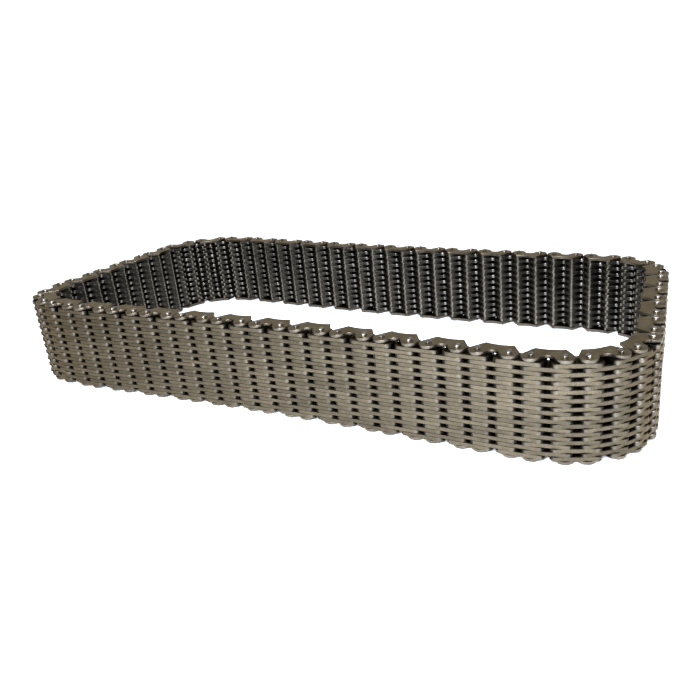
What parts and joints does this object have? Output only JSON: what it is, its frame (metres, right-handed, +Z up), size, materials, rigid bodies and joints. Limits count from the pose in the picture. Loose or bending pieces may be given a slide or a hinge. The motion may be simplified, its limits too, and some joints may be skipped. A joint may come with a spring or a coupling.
{
  "type": "inverted-tooth drive chain",
  "caption": "Endless wide silent drive chain of laced toothed link plates on pins and rockers, with guide plates at both sides, lying on its side in a rounded loop.",
  "frame": {"origin": "middle of the loop, on the plane that the lower pin ends rest on", "axes": "+X along the long runs of the loop, +Y across the loop towards the far run, +Z up along the pins, so the chain lies on its side"},
  "size_m": [0.3036, 0.144, 0.0406],
  "materials": {
    "guide_plate_steel": "oil-tinted blanked steel plate, dull olive brown",
    "link_plate_steel": "tumbled blanked steel, warm grey, darker in the gaps",
    "pin_steel": "ground hardened steel, bright on the standing ends"
  },
  "bodies": {
    "near_run": {"near_run_guide_plates": "guide_plate_steel", "near_run_link_plates_a": "link_plate_steel", "near_run_long_pins": "pin_steel", "near_run_link_plates_b": "link_plate_steel", "near_run_rockers": "pin_steel"},
    "right_end": {"right_end_guide_plates": "guide_plate_steel", "right_end_link_plates_a": "link_plate_steel", "right_end_long_pins": "pin_steel", "right_end_link_plates_b": "link_plate_steel", "right_end_rockers": "pin_steel"},
    "far_run": {"far_run_guide_plates": "guide_plate_steel", "far_run_link_plates_a": "link_plate_steel", "far_run_long_pins": "pin_steel", "far_run_link_plates_b": "link_plate_steel", "far_run_rockers": "pin_steel"},
    "left_end": {"left_end_guide_plates": "guide_plate_steel", "left_end_link_plates_a": "link_plate_steel", "left_end_long_pins": "pin_steel", "left_end_link_plates_b": "link_plate_steel", "left_end_rockers": "pin_steel"},
    "near_right_link_1": {"near_right_link_1_link_plates_b": "link_plate_steel", "near_right_link_1_rockers": "pin_steel"},
    "near_right_link_2": {"near_right_link_2_guide_plates": "guide_plate_steel", "near_right_link_2_link_plates_a": "link_plate_steel", "near_right_link_2_long_pins": "pin_steel"},
    "near_right_link_3": {"near_right_link_3_link_plates_b": "link_plate_steel", "near_right_link_3_rockers": "pin_steel"},
    "near_right_link_4": {"near_right_link_4_guide_plates": "guide_plate_steel", "near_right_link_4_link_plates_a": "link_plate_steel", "near_right_link_4_long_pins": "pin_steel"},
    "far_right_link_1": {"far_right_link_1_guide_plates": "guide_plate_steel", "far_right_link_1_link_plates_a": "link_plate_steel", "far_right_link_1_long_pins": "pin_steel"},
    "far_right_link_2": {"far_right_link_2_link_plates_b": "link_plate_steel", "far_right_link_2_rockers": "pin_steel"},
    "far_right_link_3": {"far_right_link_3_guide_plates": "guide_plate_steel", "far_right_link_3_link_plates_a": "link_plate_steel", "far_right_link_3_long_pins": "pin_steel"},
    "far_right_link_4": {"far_right_link_4_link_plates_b": "link_plate_steel", "far_right_link_4_rockers": "pin_steel"},
    "far_left_link_1": {"far_left_link_1_link_plates_b": "link_plate_steel", "far_left_link_1_rockers": "pin_steel"},
    "far_left_link_2": {"far_left_link_2_guide_plates": "guide_plate_steel", "far_left_link_2_link_plates_a": "link_plate_steel", "far_left_link_2_long_pins": "pin_steel"},
    "far_left_link_3": {"far_left_link_3_link_plates_b": "link_plate_steel", "far_left_link_3_rockers": "pin_steel"},
    "far_left_link_4": {"far_left_link_4_guide_plates": "guide_plate_steel", "far_left_link_4_link_plates_a": "link_plate_steel", "far_left_link_4_long_pins": "pin_steel"},
    "near_left_link_1": {"near_left_link_1_guide_plates": "guide_plate_steel", "near_left_link_1_link_plates_a": "link_plate_steel", "near_left_link_1_long_pins": "pin_steel"},
    "near_left_link_2": {"near_left_link_2_link_plates_b": "link_plate_steel", "near_left_link_2_rockers": "pin_steel"},
    "near_left_link_3": {"near_left_link_3_guide_plates": "guide_plate_steel", "near_left_link_3_link_plates_a": "link_plate_steel", "near_left_link_3_long_pins": "pin_steel"},
    "near_left_link_4": {"near_left_link_4_link_plates_b": "link_plate_steel", "near_left_link_4_rockers": "pin_steel"}
  },
  "joints": [
    {"name": "near_right_bend_1", "type": "hinge", "parent": "near_run", "child": "near_right_link_1", "pos_m": [0.1224, -0.06715, 0.0203], "axis": [0, 0, 1], "range_deg": [-5, 6]},
    {"name": "near_right_bend_2", "type": "hinge", "parent": "near_right_link_1", "child": "near_right_link_2", "pos_m": [0.13136, -0.06392, 0.0203], "axis": [0, 0, 1], "range_deg": [-5, 6]},
    {"name": "near_right_bend_3", "type": "hinge", "parent": "near_right_link_2", "child": "near_right_link_3", "pos_m": [0.13908, -0.05834, 0.0203], "axis": [0, 0, 1], "range_deg": [-5, 6]},
    {"name": "near_right_bend_4", "type": "hinge", "parent": "near_right_link_3", "child": "near_right_link_4", "pos_m": [0.1447, -0.05065, 0.0203], "axis": [0, 0, 1], "range_deg": [-5, 6]},
    {"name": "near_right_bend_5", "type": "hinge", "parent": "near_right_link_4", "child": "right_end", "pos_m": [0.14767, -0.0416, 0.0203], "axis": [0, 0, 1], "range_deg": [-5, 6]},
    {"name": "far_right_bend_1", "type": "hinge", "parent": "right_end", "child": "far_right_link_1", "pos_m": [0.14176, 0.04389, 0.0203], "axis": [0, 0, 1], "range_deg": [-6, 5]},
    {"name": "far_right_bend_2", "type": "hinge", "parent": "far_right_link_1", "child": "far_right_link_2", "pos_m": [0.139, 0.053, 0.0203], "axis": [0, 0, 1], "range_deg": [-6, 5]},
    {"name": "far_right_bend_3", "type": "hinge", "parent": "far_right_link_2", "child": "far_right_link_3", "pos_m": [0.13316, 0.06052, 0.0203], "axis": [0, 0, 1], "range_deg": [-6, 5]},
    {"name": "far_right_bend_4", "type": "hinge", "parent": "far_right_link_3", "child": "far_right_link_4", "pos_m": [0.12492, 0.06531, 0.0203], "axis": [0, 0, 1], "range_deg": [-6, 5]},
    {"name": "far_right_bend_5", "type": "hinge", "parent": "far_right_link_4", "child": "far_run", "pos_m": [0.11558, 0.06715, 0.0203], "axis": [0, 0, 1], "range_deg": [-6, 5]},
    {"name": "near_left_bend_5", "type": "hinge", "parent": "near_run", "child": "near_left_link_4", "pos_m": [-0.11558, -0.06715, 0.0203], "axis": [0, 0, 1], "range_deg": [-5, 6]},
    {"name": "near_left_bend_4", "type": "hinge", "parent": "near_left_link_4", "child": "near_left_link_3", "pos_m": [-0.12492, -0.06531, 0.0203], "axis": [0, 0, 1], "range_deg": [-5, 6]},
    {"name": "near_left_bend_3", "type": "hinge", "parent": "near_left_link_3", "child": "near_left_link_2", "pos_m": [-0.13316, -0.06052, 0.0203], "axis": [0, 0, 1], "range_deg": [-5, 6]},
    {"name": "near_left_bend_2", "type": "hinge", "parent": "near_left_link_2", "child": "near_left_link_1", "pos_m": [-0.139, -0.053, 0.0203], "axis": [0, 0, 1], "range_deg": [-5, 6]},
    {"name": "near_left_bend_1", "type": "hinge", "parent": "near_left_link_1", "child": "left_end", "pos_m": [-0.14176, -0.04389, 0.0203], "axis": [0, 0, 1], "range_deg": [-5, 6]},
    {"name": "far_left_bend_5", "type": "hinge", "parent": "left_end", "child": "far_left_link_4", "pos_m": [-0.14767, 0.0416, 0.0203], "axis": [0, 0, 1], "range_deg": [-6, 5]},
    {"name": "far_left_bend_4", "type": "hinge", "parent": "far_left_link_4", "child": "far_left_link_3", "pos_m": [-0.1447, 0.05065, 0.0203], "axis": [0, 0, 1], "range_deg": [-6, 5]},
    {"name": "far_left_bend_3", "type": "hinge", "parent": "far_left_link_3", "child": "far_left_link_2", "pos_m": [-0.13908, 0.05834, 0.0203], "axis": [0, 0, 1], "range_deg": [-6, 5]},
    {"name": "far_left_bend_2", "type": "hinge", "parent": "far_left_link_2", "child": "far_left_link_1", "pos_m": [-0.13136, 0.06392, 0.0203], "axis": [0, 0, 1], "range_deg": [-6, 5]}
  ],
  "couplings": [
    {"joint": "near_right_bend_2", "follows": "near_right_bend_1", "ratio": 1},
    {"joint": "near_right_bend_3", "follows": "near_right_bend_1", "ratio": 1},
    {"joint": "near_right_bend_4", "follows": "near_right_bend_1", "ratio": 1},
    {"joint": "near_right_bend_5", "follows": "near_right_bend_1", "ratio": 1},
    {"joint": "far_right_bend_1", "follows": "near_right_bend_1", "ratio": -1},
    {"joint": "far_right_bend_2", "follows": "near_right_bend_1", "ratio": -1},
    {"joint": "far_right_bend_3", "follows": "near_right_bend_1", "ratio": -1},
    {"joint": "far_right_bend_4", "follows": "near_right_bend_1", "ratio": -1},
    {"joint": "far_right_bend_5", "follows": "near_right_bend_1", "ratio": -1},
    {"joint": "near_left_bend_5", "follows": "near_right_bend_1", "ratio": 1},
    {"joint": "near_left_bend_4", "follows": "near_right_bend_1", "ratio": 1},
    {"joint": "near_left_bend_3", "follows": "near_right_bend_1", "ratio": 1},
    {"joint": "near_left_bend_2", "follows": "near_right_bend_1", "ratio": 1},
    {"joint": "near_left_bend_1", "follows": "near_right_bend_1", "ratio": 1},
    {"joint": "far_left_bend_5", "follows": "near_right_bend_1", "ratio": -1},
    {"joint": "far_left_bend_4", "follows": "near_right_bend_1", "ratio": -1},
    {"joint": "far_left_bend_3", "follows": "near_right_bend_1", "ratio": -1},
    {"joint": "far_left_bend_2", "follows": "near_right_bend_1", "ratio": -1}
  ]
}
